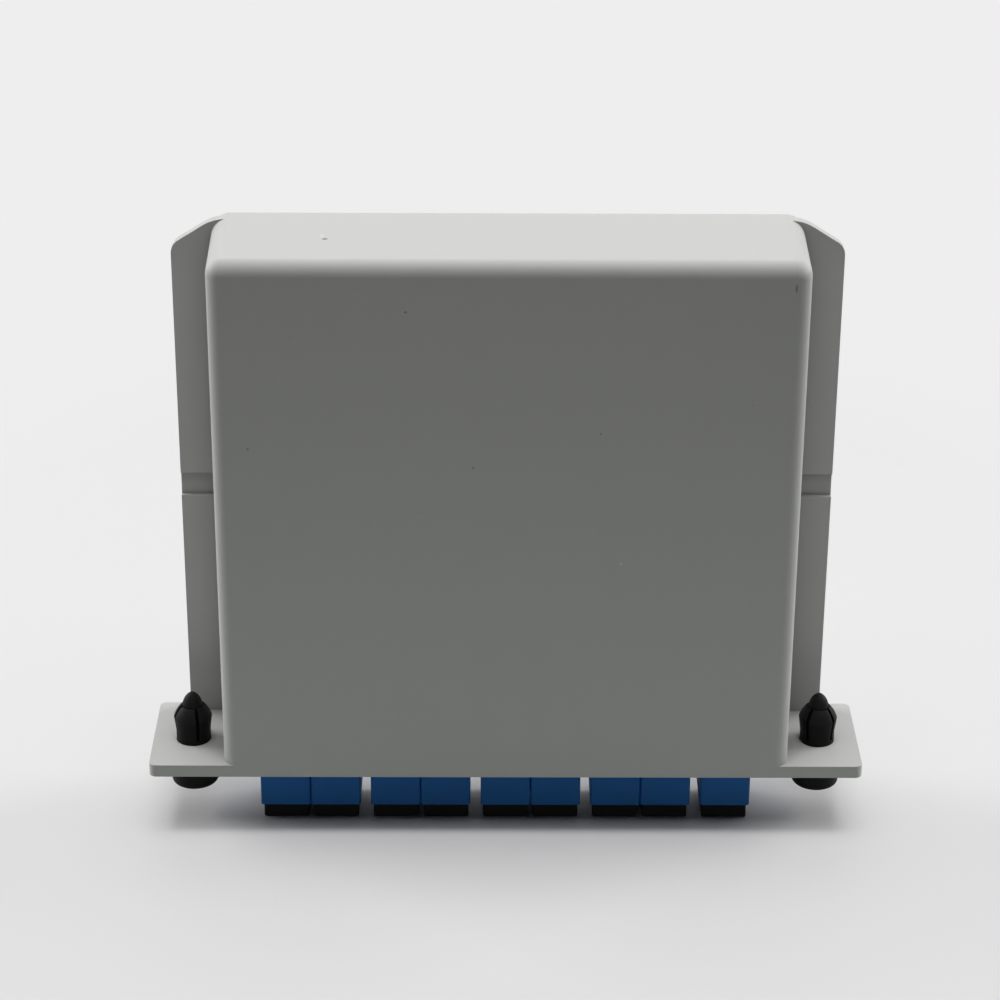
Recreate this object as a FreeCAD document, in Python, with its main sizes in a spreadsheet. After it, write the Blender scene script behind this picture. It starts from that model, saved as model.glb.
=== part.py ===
"""Plug-in cassette that holds a planar fibre splitter behind nine capped SC ports.

The cassette stands on its dust caps: X runs along the face plate, Y through the thickness of
the hood (its closed broad face towards -Y, the cover towards +Y) and Z from the port side up to
the end wall. The origin is on the standing surface, under the middle of the face plate.
"""
import FreeCAD, Part
import math
import os
from types import SimpleNamespace

import Sketcher

SIZES = {
    # face plate
    "plate_length": 130.0,
    "plate_depth": 23.4,
    "plate_thickness": 2.35,
    "plate_corner_radius": 1.3,
    # hood: a drafted box, measured at its closed broad face
    "shoulder_width": 13.7,
    "body_height": 99.8,
    "wall": 2.0,
    "draft_angle": 1.4,
    "corner_radius": 3.3,
    "edge_radius": 2.6,
    # guide flanges along both sides of the hood
    "flange_inset": 6.0,
    "flange_thickness": 2.0,
    "flange_gap": 0.85,
    "flange_top_drop": 0.1,
    "flange_slope_width": 7.6,
    "flange_slope_angle": 32.4,
    "flange_corner_radius": 2.9,
    "flange_blend_radius": 7.6,
    "groove_start": 47.0,
    "groove_width": 4.5,
    "groove_depth": 0.85,
    # cover, let into the open side of the hood
    "cover_thickness": 2.0,
    "rim": 1.2,
    "cover_gap": 0.15,
    "cover_edge_radius": 0.4,
    "boss_radius": 2.6,
    "boss_inset": 3.0,
    "boss_clearance": 3.75,
    "screw_radius": 0.85,
    "screw_head_radius": 1.9,
    "screw_length": 8.0,
    "screw_gap": 0.08,
    "countersink_angle": 45.0,
    "recess_width": 0.5,
    "recess_length": 2.2,
    "recess_depth": 0.6,
    # port adapters
    "adapter_reach": 9.1,
    "adapter_length": 27.9,
    "adapter_width": 9.15,
    "adapter_height": 12.9,
    "adapter_corner_radius": 0.5,
    "adapter_mouth_radius": 0.2,
    "pair_gap": 0.1,
    "pairs_apart": 1.8,
    "row_clearance": 4.1,
    "port_gap": 0.08,
    "collar_height": 14.6,
    "collar_thickness": 1.6,
    "port_width": 7.5,
    "port_height": 9.1,
    "divider": 2.0,
    "key_width": 2.4,
    "key_height": 0.9,
    # alignment inserts and split sleeves
    "insert_radius": 2.2,
    "insert_length": 11.2,
    "insert_flange": 1.2,
    "sleeve_outer_radius": 1.6,
    "sleeve_inner_radius": 1.26,
    "sleeve_length": 10.6,
    "sleeve_slit": 0.5,
    "running_gap": 0.05,
    # dust caps
    "cap_width": 8.3,
    "cap_height": 10.2,
    "cap_head_thickness": 3.3,
    "cap_edge_radius": 0.5,
    "cap_foot_radius": 0.2,
    "cap_plug_length": 8.0,
    "cap_plug_wall": 1.0,
    "slide_gap": 0.1,
    # plugs behind the ports
    "ferrule_radius": 1.25,
    "ferrule_length": 10.0,
    "plug_length": 20.0,
    "plug_setback": 2.3,
    "plug_bore_radius": 2.5,
    "plug_bore_depth": 6.0,
    "plug_boot_length": 8.0,
    "plug_boot_radius": 2.3,
    "plug_boot_tip_radius": 1.1,
    # latches
    "latch_inset": 7.4,
    "latch_offset": -1.5,
    "latch_collar_radius": 4.2,
    "latch_collar_thickness": 1.2,
    "latch_shank_radius": 3.15,
    "latch_shoulder_radius": 3.5,
    "latch_shoulder_height": 4.75,
    "latch_leg_height": 7.0,
    "latch_leg_tip_radius": 2.15,
    "latch_leg_curve": 6.0,
    "latch_hole_gap": 0.05,
    "latch_slot_width": 0.6,
    "latch_grip": 2.0,
    "latch_ring_height": 0.7,
    "latch_turn_left": 20.0,
    "latch_turn_right": 50.0,
    "pin_radius": 1.85,
    "pin_tip_height": 9.5,
    "pin_tip_curve": 3.2,
    "pin_tip_flat": 0.45,
    "knob_radius": 4.3,
    "knob_thickness": 5.3,
    "knob_edge_radius": 0.8,
    # splitter module and its fibres
    "module_length": 50.0,
    "module_width": 7.0,
    "module_thickness": 4.0,
    "module_inset": 16.3,
    "module_end_length": 3.0,
    "loop_side_clearance": 2.3,
    "loop_top_clearance": 4.2,
    "riser_room": 14.45,
    "fibre_radius": 0.45,
    "fibre_pitch": 1.1,
    "riser_radius": 9.0,
    # mouldings inside the hood
    "cradle_length": 5.0,
    "cradle_inset": 10.0,
    "cradle_wall": 1.5,
    "cradle_grip": 4.5,
    "cradle_gap": 0.1,
    "post_inset": 5.0,
    "post_rise": 10.0,
    "post_radius": 2.0,
    "post_top": 4.5,
    "post_cap_radius": 3.2,
    "post_cap_thickness": 1.0,
}

doc = FreeCAD.newDocument("splitter_cassette")
sheet = doc.addObject("Spreadsheet::Sheet", "Sizes")
for row, (name, number) in enumerate(SIZES.items(), start=1):
    sheet.set(f"A{row}", name)
    sheet.set(f"B{row}", str(number))
    sheet.setAlias(f"B{row}", name)
doc.recompute()


class Size:
    """A number in millimetres or degrees, with the sheet formula that gives it."""

    def __init__(self, text, value):
        self.text = text
        self.value = value

    def __add__(self, other):
        other = size_of(other)
        return Size(f"({self.text} + {other.text})", self.value + other.value)

    def __sub__(self, other):
        other = size_of(other)
        return Size(f"({self.text} - {other.text})", self.value - other.value)

    def __mul__(self, other):
        other = size_of(other)
        return Size(f"({self.text} * {other.text})", self.value * other.value)

    def __truediv__(self, other):
        other = size_of(other)
        return Size(f"({self.text} / {other.text})", self.value / other.value)

    def __neg__(self):
        return Size(f"(0 - {self.text})", -self.value)


def size_of(value):
    """A Size as it is, or a plain number as a Size."""
    return value if isinstance(value, Size) else Size(repr(float(value)), float(value))


def sine(angle):
    return Size(f"sin({angle.text} * 1 deg)", math.sin(math.radians(angle.value)))


def cosine(angle):
    return Size(f"cos({angle.text} * 1 deg)", math.cos(math.radians(angle.value)))


def tangent(angle):
    return Size(f"tan({angle.text} * 1 deg)", math.tan(math.radians(angle.value)))


d = SimpleNamespace(**{name: Size(f"Sizes.{name}", float(sheet.get(name))) for name in SIZES})

# levels along Z
adapter_end = d.cap_head_thickness
plate_front = adapter_end + d.adapter_reach
plate_back = plate_front + d.plate_thickness
adapter_middle = adapter_end + d.adapter_length / 2
plug_end = adapter_middle + d.plug_setback + d.plug_length
boot_end = plug_end + d.plug_boot_length
# faces along Y
near_face = -d.plate_depth / 2
far_face = d.plate_depth / 2
draft_growth = d.plate_depth * tangent(d.draft_angle)
flange_face = far_face - d.flange_gap - d.flange_thickness
flange_growth = (flange_face - near_face) * tangent(d.draft_angle)
near_wall_inside = near_face + d.wall
cover_seat = far_face - d.cover_thickness
# hood outline at the open side, and at the closed side
body_half = d.plate_length / 2 - d.shoulder_width
hood_half = body_half + draft_growth
hood_top = plate_front + d.body_height + draft_growth
inside_half = body_half - d.wall
inside_top = plate_front + d.body_height - d.wall
rebate_half = hood_half - d.rim
rebate_top = hood_top - d.rim
rebate_radius = d.corner_radius - d.rim
# port places along X: as many pairs as fit beside the single port
adapter_pitch = d.adapter_width + d.pair_gap
pair_pitch = adapter_pitch * 2 + d.pairs_apart
row_length = (inside_half - d.row_clearance) * 2
PAIRS = int((row_length - d.adapter_width).value / pair_pitch.value)
port_left = -(pair_pitch * PAIRS) / 2
port_places = [port_left + pair_pitch * (n // 2) + adapter_pitch * (n % 2) for n in range(2 * PAIRS + 1)]
latch_x = d.plate_length / 2 - d.latch_inset
# cover screws: two beside the end wall, two above the plugs
boss_x = inside_half - d.boss_inset
boss_levels = [plug_end + d.boss_clearance + d.boss_radius, inside_top - d.boss_inset]
boss_places = [(side, level) for side in (-1, 1) for level in boss_levels]
screw_head_depth = (d.screw_head_radius - d.screw_radius) / tangent(d.countersink_angle)
# fibre loops between the boots and the end wall, and the splitter module in the middle of them
loop_low = boot_end + d.riser_room
loop_radius = (inside_top - d.loop_top_clearance - loop_low) / 2
loop_middle = loop_low + loop_radius
loop_half_run = inside_half - d.loop_side_clearance - loop_radius
module_left = d.module_inset - inside_half
module_right = module_left + d.module_length
module_seat = -d.module_width / 2
fibres_left = module_left - d.module_end_length
fibres_right = module_right + d.module_end_length
cradle_places = [module_left + d.cradle_inset, module_right - d.cradle_inset - d.cradle_length]
post_places = [(x, loop_middle + d.post_rise * side)
               for x in (module_left + d.post_inset, fibres_right) for side in (-1, 1)]


def bind(thing, path, size):
    """Let one property of a thing follow a size."""
    thing.setExpression(path, size_of(size).text)


def origin_plane(body, role):
    return [item for item in body.Origin.OriginFeatures if item.Role == role][0]


def new_body(name):
    body = doc.addObject("PartDesign::Body", name)
    body.Label = name
    return body


def new_sketch(body, name, plane, level=None):
    """A sketch on an origin plane of its body, moved along the plane's normal."""
    sketch = body.newObject("Sketcher::SketchObject", name)
    sketch.AttachmentSupport = [(origin_plane(body, plane), "")]
    sketch.MapMode = "FlatFace"
    if level is not None:
        bind(sketch, "AttachmentOffset.Base.z", level)
    return sketch


def fix_point(sketch, geometry, end, x, y):
    """Tie a point of a sketch to the sketch's origin by its two distances."""
    for kind, size in (("DistanceX", x), ("DistanceY", y)):
        size = size_of(size)
        number = sketch.addConstraint(Sketcher.Constraint(kind, -1, 1, geometry, end, size.value))
        bind(sketch, f"Constraints[{number}]", size)


def arc_middle(start, finish, radius):
    """The middle of the short arc from start to finish; a positive radius bends it to the left."""
    chord = finish - start
    rise = abs(radius) - math.sqrt(max(radius * radius - chord.Length ** 2 / 4, 0.0))
    right = FreeCAD.Vector(chord.y, -chord.x, 0).normalize()
    return (start + finish) * 0.5 + right * (rise if radius > 0 else -rise)


def add_outline(sketch, corners):
    """A closed outline through corners (x, y) or (x, y, radius), the radius of the arc that arrives there.

    A positive radius is an arc that turns left, a negative one an arc that turns right.
    """
    points = [FreeCAD.Vector(size_of(c[0]).value, size_of(c[1]).value, 0) for c in corners]
    ends = []
    for n, corner in enumerate(corners):
        start = points[n - 1]
        finish = points[n]
        if len(corner) == 2:
            number = sketch.addGeometry(Part.LineSegment(start, finish))
            ends.append((number, 1, 2))
            continue
        middle = arc_middle(start, finish, size_of(corner[2]).value)
        arc = Part.Arc(start, middle, finish)
        number = sketch.addGeometry(arc)
        turned = (sketch.Geometry[number].StartPoint - start).Length > 1e-6
        ends.append((number, 2, 1) if turned else (number, 1, 2))
        radius = size_of(corner[2])
        radius = radius if radius.value > 0 else -radius
        constraint = sketch.addConstraint(Sketcher.Constraint("Radius", number, radius.value))
        bind(sketch, f"Constraints[{constraint}]", radius)
    for n, (number, first, last) in enumerate(ends):
        following = ends[(n + 1) % len(ends)]
        sketch.addConstraint(Sketcher.Constraint("Coincident", number, last, following[0], following[1]))
        fix_point(sketch, number, last, corners[n][0], corners[n][1])


def add_rectangle(sketch, left, right, bottom, top):
    add_outline(sketch, [(left, bottom), (right, bottom), (right, top), (left, top)])


def add_circle(sketch, x, y, radius):
    centre = FreeCAD.Vector(size_of(x).value, size_of(y).value, 0)
    number = sketch.addGeometry(Part.Circle(centre, FreeCAD.Vector(0, 0, 1), size_of(radius).value))
    fix_point(sketch, number, 3, x, y)
    constraint = sketch.addConstraint(Sketcher.Constraint("Radius", number, size_of(radius).value))
    bind(sketch, f"Constraints[{constraint}]", radius)


def pad(body, name, sketch, length, reverse=False, taper=None):
    feature = body.newObject("PartDesign::Pad", name)
    feature.Profile = sketch
    feature.Reversed = reverse
    bind(feature, "Length", length)
    if taper is not None:
        bind(feature, "TaperAngle", taper)
    doc.recompute([sketch, feature, body])
    return feature


def pocket(body, name, sketch, depth, reverse=False, taper=None):
    """Cut a sketch into the body, and make sure that it removed something."""
    before = body.Shape.Volume
    feature = body.newObject("PartDesign::Pocket", name)
    feature.Profile = sketch
    feature.Reversed = reverse
    bind(feature, "Length", depth)
    if taper is not None:
        bind(feature, "TaperAngle", taper)
    doc.recompute([sketch, feature, body])
    if not body.Shape.Volume < before:
        raise RuntimeError(f"{name} cut nothing from {body.Label}")
    return feature


def fillet(body, name, radius, wanted):
    """Round the edges of the body that the test wanted(edge) picks."""
    base = body.Tip
    names = [f"Edge{n}" for n, edge in enumerate(base.Shape.Edges, start=1) if wanted(edge)]
    if not names:
        raise RuntimeError(f"{name} found no edge on {body.Label}")
    feature = body.newObject("PartDesign::Fillet", name)
    feature.Base = (base, names)
    bind(feature, "Radius", radius)
    doc.recompute([feature, body])
    return feature


def revolve(body, name, sketch):
    """Turn a sketch in the XZ plane about the body's Z axis."""
    feature = body.newObject("PartDesign::Revolution", name)
    feature.Profile = sketch
    feature.ReferenceAxis = (sketch, ["V_Axis"])
    feature.Angle = 360
    doc.recompute([sketch, feature, body])
    return feature


def close(a, b):
    return abs(a - b) < 1e-3


def lies_at(edge, axis, value):
    """Whether an edge lies wholly in the plane where the axis has the value."""
    box = edge.BoundBox
    low = getattr(box, f"{axis}Min")
    high = getattr(box, f"{axis}Max")
    return close(low, value) and close(high, value)


def runs_along(edge, axis):
    """Whether a straight edge is parallel to an axis."""
    box = edge.BoundBox
    return all(close(getattr(box, f"{other}Length"), 0) for other in "XYZ" if other != axis)


def build_housing():
    """Hood, guide flanges and face plate: one moulding, open towards the cover."""
    body = new_body("housing")
    # the hood's solid block, with its corners rounded at the open side
    outline = new_sketch(body, "hood_outline", "XZ_Plane", -far_face)
    radius = d.corner_radius
    add_outline(outline, [
        (hood_half, plate_front),
        (hood_half, hood_top - radius),
        (hood_half - radius, hood_top, radius),
        (radius - hood_half, hood_top),
        (-hood_half, hood_top - radius, radius),
        (-hood_half, plate_front),
    ])
    pad(body, "hood_block", outline, d.plate_depth, taper=-d.draft_angle)
    lowest = body.Shape.BoundBox.ZMin
    fillet(body, "hood_edges", d.edge_radius, lambda edge: lies_at(edge, "Y", near_face.value)
           and edge.BoundBox.ZMax > lowest + d.edge_radius.value)
    # the slab that the flanges are the ends of
    slope = d.flange_slope_angle
    out = d.plate_length / 2 - d.flange_inset
    top = plate_front + d.body_height + flange_growth - d.flange_top_drop
    shoulder = out - d.flange_slope_width
    low = top - d.flange_slope_width * tangent(slope)
    corner_reach = d.flange_corner_radius * (size_of(1) - sine(slope)) / cosine(slope)
    blend_reach = d.flange_blend_radius * tangent(slope / 2)
    slab = new_sketch(body, "flange_outline", "XZ_Plane", -flange_face)
    right = [
        (out, plate_front),
        (out, low - corner_reach),
        (out - corner_reach * cosine(slope), low + corner_reach * sine(slope), d.flange_corner_radius),
        (shoulder + blend_reach * cosine(slope), top - blend_reach * sine(slope)),
        (shoulder - blend_reach, top, d.flange_blend_radius),
    ]
    left = [
        (blend_reach - shoulder, top),
        (-(shoulder + blend_reach * cosine(slope)), top - blend_reach * sine(slope), d.flange_blend_radius),
        (corner_reach * cosine(slope) - out, low + corner_reach * sine(slope)),
        (-out, low - corner_reach, d.flange_corner_radius),
        (-out, plate_front),
    ]
    add_outline(slab, right + left)
    pad(body, "flanges", slab, d.flange_thickness, reverse=True)
    # face plate
    plate = new_sketch(body, "plate_outline", "XY_Plane", plate_front)
    half = d.plate_length / 2
    add_rectangle(plate, -half, half, near_face, far_face)
    pad(body, "face_plate", plate, d.plate_thickness)
    fillet(body, "plate_corners", d.plate_corner_radius, lambda edge: runs_along(edge, "Z")
           and close(abs(edge.BoundBox.Center.x), half.value))
    # grooves across the flanges
    groove = new_sketch(body, "groove_outline", "XZ_Plane", -flange_face)
    start = plate_front + d.groove_start
    wall_out = body_half + flange_growth
    add_rectangle(groove, wall_out, out + d.groove_depth, start, start + d.groove_width)
    add_rectangle(groove, -(out + d.groove_depth), -wall_out, start, start + d.groove_width)
    pocket(body, "grooves", groove, d.groove_depth)
    # room inside, and the step that the cover lies in
    room = new_sketch(body, "room_outline", "XZ_Plane", -far_face)
    add_rectangle(room, -inside_half, inside_half, plate_back, inside_top)
    pocket(body, "room", room, d.plate_depth - d.wall, reverse=True)
    rebate = new_sketch(body, "rebate_outline", "XZ_Plane", -far_face)
    add_outline(rebate, [
        (rebate_half, plate_back),
        (rebate_half, rebate_top - rebate_radius),
        (rebate_half - rebate_radius, rebate_top, rebate_radius),
        (rebate_radius - rebate_half, rebate_top),
        (-rebate_half, rebate_top - rebate_radius, rebate_radius),
        (-rebate_half, plate_back),
    ])
    pocket(body, "rebate", rebate, d.cover_thickness, reverse=True)
    add_inside_mouldings(body)
    # holes through the face plate
    ports = new_sketch(body, "port_openings", "XY_Plane", plate_front)
    across = d.adapter_width / 2 + d.port_gap
    deep = d.adapter_height / 2 + d.port_gap
    for n in range(0, len(port_places), 2):
        last = min(n + 1, len(port_places) - 1)
        add_rectangle(ports, port_places[n] - across, port_places[last] + across, -deep, deep)
    pocket(body, "port_openings_cut", ports, d.plate_thickness, reverse=True)
    latches = new_sketch(body, "latch_holes", "XY_Plane", plate_front)
    for side in (-1, 1):
        hole = d.latch_shank_radius + d.latch_hole_gap
        add_circle(latches, latch_x * side, d.latch_offset, hole)
    pocket(body, "latch_holes_cut", latches, d.plate_thickness, reverse=True)
    return body


def add_inside_mouldings(body):
    """Screw bosses, fibre posts and the module's cradle, all standing on the closed broad wall."""
    floor = -near_wall_inside
    boss = new_sketch(body, "boss_outline", "XZ_Plane", floor)
    for side, level in boss_places:
        add_circle(boss, boss_x * side, level, d.boss_radius)
    pad(body, "bosses", boss, cover_seat - near_wall_inside, reverse=True)
    pilot = new_sketch(body, "pilot_holes", "XZ_Plane", -cover_seat)
    for side, level in boss_places:
        add_circle(pilot, boss_x * side, level, d.screw_radius + d.screw_gap)
    pocket(body, "pilot_holes_cut", pilot, d.screw_length, reverse=True)
    post = new_sketch(body, "post_outline", "XZ_Plane", floor)
    for x, z in post_places:
        add_circle(post, x, z, d.post_radius)
    pad(body, "posts", post, d.post_top - near_wall_inside, reverse=True)
    cap = new_sketch(body, "post_cap_outline", "XZ_Plane", -d.post_top)
    for x, z in post_places:
        add_circle(cap, x, z, d.post_cap_radius)
    pad(body, "post_caps", cap, d.post_cap_thickness, reverse=True)
    # the cradle: two blocks that the module lies on, each with a wall above and below it
    block = new_sketch(body, "cradle_outline", "XZ_Plane", floor)
    grip = d.module_thickness / 2 + d.cradle_gap
    for left in cradle_places:
        add_rectangle(block, left, left + d.cradle_length, loop_middle - grip - d.cradle_wall,
                      loop_middle + grip + d.cradle_wall)
    pad(body, "cradle_blocks", block, module_seat - near_wall_inside, reverse=True)
    walls = new_sketch(body, "cradle_walls_outline", "XZ_Plane", -module_seat)
    for left in cradle_places:
        for low in (loop_middle - grip - d.cradle_wall, loop_middle + grip):
            add_rectangle(walls, left, left + d.cradle_length, low, low + d.cradle_wall)
    pad(body, "cradle_walls", walls, d.cradle_grip, reverse=True)


def build_cover():
    """Flat plate let into the open side of the hood, with countersunk screw holes."""
    body = new_body("cover")
    outline = new_sketch(body, "cover_outline", "XZ_Plane", -far_face)
    half = rebate_half - d.cover_gap
    top = rebate_top - d.cover_gap
    radius = rebate_radius
    add_outline(outline, [
        (half, plate_back),
        (half, top - radius),
        (half - radius, top, radius),
        (radius - half, top),
        (-half, top - radius, radius),
        (-half, plate_back),
    ])
    pad(body, "cover_plate", outline, d.cover_thickness)
    fillet(body, "cover_edges", d.cover_edge_radius,
           lambda edge: lies_at(edge, "Y", far_face.value))
    holes = new_sketch(body, "screw_holes", "XZ_Plane", -far_face)
    for side, level in boss_places:
        add_circle(holes, boss_x * side, level, d.screw_radius + d.screw_gap)
    pocket(body, "screw_holes_cut", holes, d.cover_thickness, reverse=True)
    sinks = new_sketch(body, "countersink_mouths", "XZ_Plane", -far_face)
    for side, level in boss_places:
        add_circle(sinks, boss_x * side, level, d.screw_head_radius + d.screw_gap)
    pocket(body, "countersinks", sinks, screw_head_depth, reverse=True, taper=-d.countersink_angle)
    return body


def place(thing, x=None, y=None, z=None, turn=None):
    """Put a sub-part at its place, with each distance tied to its size."""
    if turn is not None:
        thing.Placement = FreeCAD.Placement(FreeCAD.Vector(), FreeCAD.Rotation(FreeCAD.Vector(0, 0, 1), 1))
        bind(thing, "Placement.Rotation.Angle", turn)
    for axis, size in (("x", x), ("y", y), ("z", z)):
        if size is not None:
            bind(thing, f"Placement.Base.{axis}", size)


def build_cover_screw(number, side, level):
    """Countersunk self-tapping screw with a crossed recess; its own Z axis points out of the cover."""
    body = new_body(f"cover_screw_{number}")
    profile = new_sketch(body, f"screw_profile_{number}", "XZ_Plane")
    add_outline(profile, [
        (0, 0),
        (0, -d.screw_length),
        (d.screw_radius, -d.screw_length),
        (d.screw_radius, -screw_head_depth),
        (d.screw_head_radius, 0),
    ])
    revolve(body, f"screw_turned_{number}", profile)
    for name, long, wide in (("across", d.recess_length, d.recess_width),
                             ("upright", d.recess_width, d.recess_length)):
        recess = new_sketch(body, f"recess_{name}_{number}", "XY_Plane")
        add_rectangle(recess, -long / 2, long / 2, -wide / 2, wide / 2)
        pocket(body, f"recess_{name}_cut_{number}", recess, d.recess_depth)
    body.Placement = FreeCAD.Placement(FreeCAD.Vector(), FreeCAD.Rotation(FreeCAD.Vector(1, 0, 0), -90))
    place(body, boss_x * side, far_face, level)
    return body


def build_adapter(number, x):
    """SC port adapter: a keyed port at each end of a block, with a collar behind the face plate."""
    body = new_body(f"adapter_{number}")
    wide = d.adapter_width / 2
    high = d.adapter_height / 2
    block = new_sketch(body, f"adapter_outline_{number}", "XY_Plane")
    add_rectangle(block, -wide, wide, -high, high)
    pad(body, f"adapter_block_{number}", block, d.adapter_length)
    fillet(body, f"adapter_corners_{number}", d.adapter_corner_radius, lambda edge: runs_along(edge, "Z"))
    fillet(body, f"adapter_mouth_edge_{number}", d.adapter_mouth_radius,
           lambda edge: lies_at(edge, "Z", 0.0))
    collar = new_sketch(body, f"collar_outline_{number}", "XY_Plane", d.adapter_reach + d.plate_thickness)
    add_rectangle(collar, -wide, wide, -d.collar_height / 2, d.collar_height / 2)
    pad(body, f"collar_{number}", collar, d.collar_thickness)
    depth = (d.adapter_length - d.divider) / 2
    for name, level, inward in (("front", size_of(0), True), ("rear", d.adapter_length, False)):
        port = new_sketch(body, f"{name}_port_outline_{number}", "XY_Plane", level)
        add_outline(port, keyed_outline(d.port_width / 2, d.port_height / 2, d.key_width / 2, d.key_height))
        pocket(body, f"{name}_port_{number}", port, depth, reverse=inward)
    hole = new_sketch(body, f"divider_hole_outline_{number}", "XY_Plane", depth)
    add_circle(hole, 0, 0, d.insert_radius + d.running_gap)
    pocket(body, f"divider_hole_{number}", hole, d.divider, reverse=True)
    place(body, x, z=adapter_end)
    return body


def keyed_outline(half_wide, half_high, half_key, key_height):
    """Corners of a rectangle with a key on its +Y side."""
    return [
        (-half_wide, -half_high),
        (half_wide, -half_high),
        (half_wide, half_high),
        (half_key, half_high),
        (half_key, half_high + key_height),
        (-half_key, half_high + key_height),
        (-half_key, half_high),
        (-half_wide, half_high),
    ]


def build_port_insert(number, x):
    """Moulded holder of the split sleeve: a flange on the divider and a tube through it."""
    body = new_body(f"port_insert_{number}")
    flange = new_sketch(body, f"insert_flange_outline_{number}", "XY_Plane", d.divider / 2)
    wide = d.port_width / 2 - d.running_gap
    high = d.port_height / 2 - d.running_gap
    add_rectangle(flange, -wide, wide, -high, high)
    pad(body, f"insert_flange_{number}", flange, d.insert_flange)
    tube = new_sketch(body, f"insert_tube_outline_{number}", "XY_Plane", -d.insert_length / 2)
    add_circle(tube, 0, 0, d.insert_radius)
    pad(body, f"insert_tube_{number}", tube, d.insert_length)
    bore = new_sketch(body, f"insert_bore_outline_{number}", "XY_Plane", -d.insert_length / 2)
    add_circle(bore, 0, 0, d.sleeve_outer_radius + d.running_gap)
    pocket(body, f"insert_bore_{number}", bore, d.insert_length, reverse=True)
    place(body, x, z=adapter_middle)
    return body


def build_sleeve(number, x):
    """Ceramic sleeve with one slit along it."""
    body = new_body(f"sleeve_{number}")
    ring = new_sketch(body, f"sleeve_outline_{number}", "XY_Plane", -d.sleeve_length / 2)
    add_circle(ring, 0, 0, d.sleeve_outer_radius)
    add_circle(ring, 0, 0, d.sleeve_inner_radius)
    pad(body, f"sleeve_ring_{number}", ring, d.sleeve_length)
    slit = new_sketch(body, f"slit_outline_{number}", "XY_Plane", -d.sleeve_length / 2)
    add_rectangle(slit, -d.sleeve_slit / 2, d.sleeve_slit / 2, 0, d.sleeve_outer_radius * 2)
    pocket(body, f"slit_{number}", slit, d.sleeve_length, reverse=True)
    place(body, x, z=adapter_middle)
    return body


def build_dust_cap(number, x):
    """Push-in cap: a solid head under the port and a hollow plug inside it."""
    body = new_body(f"dust_cap_{number}")
    head = new_sketch(body, f"cap_head_outline_{number}", "XY_Plane", -d.cap_head_thickness)
    add_rectangle(head, -d.cap_width / 2, d.cap_width / 2, -d.cap_height / 2, d.cap_height / 2)
    pad(body, f"cap_head_{number}", head, d.cap_head_thickness)
    fillet(body, f"cap_corners_{number}", d.cap_edge_radius, lambda edge: runs_along(edge, "Z"))
    fillet(body, f"cap_foot_edge_{number}", d.cap_foot_radius,
           lambda edge: lies_at(edge, "Z", -d.cap_head_thickness.value))
    plug = new_sketch(body, f"cap_plug_outline_{number}", "XY_Plane")
    wide = d.port_width / 2 - d.slide_gap
    high = d.port_height / 2 - d.slide_gap
    add_rectangle(plug, -wide, wide, -high, high)
    pad(body, f"cap_plug_{number}", plug, d.cap_plug_length)
    hollow = new_sketch(body, f"cap_hollow_outline_{number}", "XY_Plane", d.cap_plug_length)
    wall = d.cap_plug_wall
    add_rectangle(hollow, wall - wide, wide - wall, wall - high, high - wall)
    pocket(body, f"cap_hollow_{number}", hollow, d.cap_plug_length)
    place(body, x, z=adapter_end)
    return body


def build_plug(number, x):
    """Keyed plug pushed into the port from inside the hood, with a bore round the insert's tube."""
    body = new_body(f"plug_{number}")
    wide = d.port_width / 2 - d.slide_gap
    high = d.port_height / 2 - d.slide_gap
    grip = new_sketch(body, f"plug_outline_{number}", "XY_Plane", d.plug_setback)
    add_outline(grip, keyed_outline(wide, high, d.key_width / 2 - d.slide_gap, d.key_height))
    pad(body, f"plug_grip_{number}", grip, d.plug_length)
    bore = new_sketch(body, f"plug_bore_outline_{number}", "XY_Plane", d.plug_setback)
    add_circle(bore, 0, 0, d.plug_bore_radius)
    pocket(body, f"plug_bore_{number}", bore, d.plug_bore_depth, reverse=True)
    seat = new_sketch(body, f"ferrule_seat_outline_{number}", "XY_Plane", d.plug_setback)
    add_circle(seat, 0, 0, d.ferrule_radius)
    pocket(body, f"ferrule_seat_{number}", seat, d.ferrule_length - d.plug_setback, reverse=True)
    place(body, x, z=adapter_middle)
    return body


def build_ferrule(number, x):
    ferrule = doc.addObject("Part::Cylinder", f"ferrule_{number}")
    bind(ferrule, "Radius", d.ferrule_radius)
    bind(ferrule, "Height", d.ferrule_length)
    place(ferrule, x, z=adapter_middle)
    return ferrule


def build_plug_boot(number, x):
    boot = doc.addObject("Part::Cone", f"plug_boot_{number}")
    bind(boot, "Radius1", d.plug_boot_radius)
    bind(boot, "Radius2", d.plug_boot_tip_radius)
    bind(boot, "Height", d.plug_boot_length)
    place(boot, x, z=plug_end)
    return boot


def build_group(label, members):
    """One sub-part of like pieces that stay separate solids."""
    group = doc.addObject("Part::Compound", label)
    group.Label = label
    group.Links = members
    return group


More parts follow.
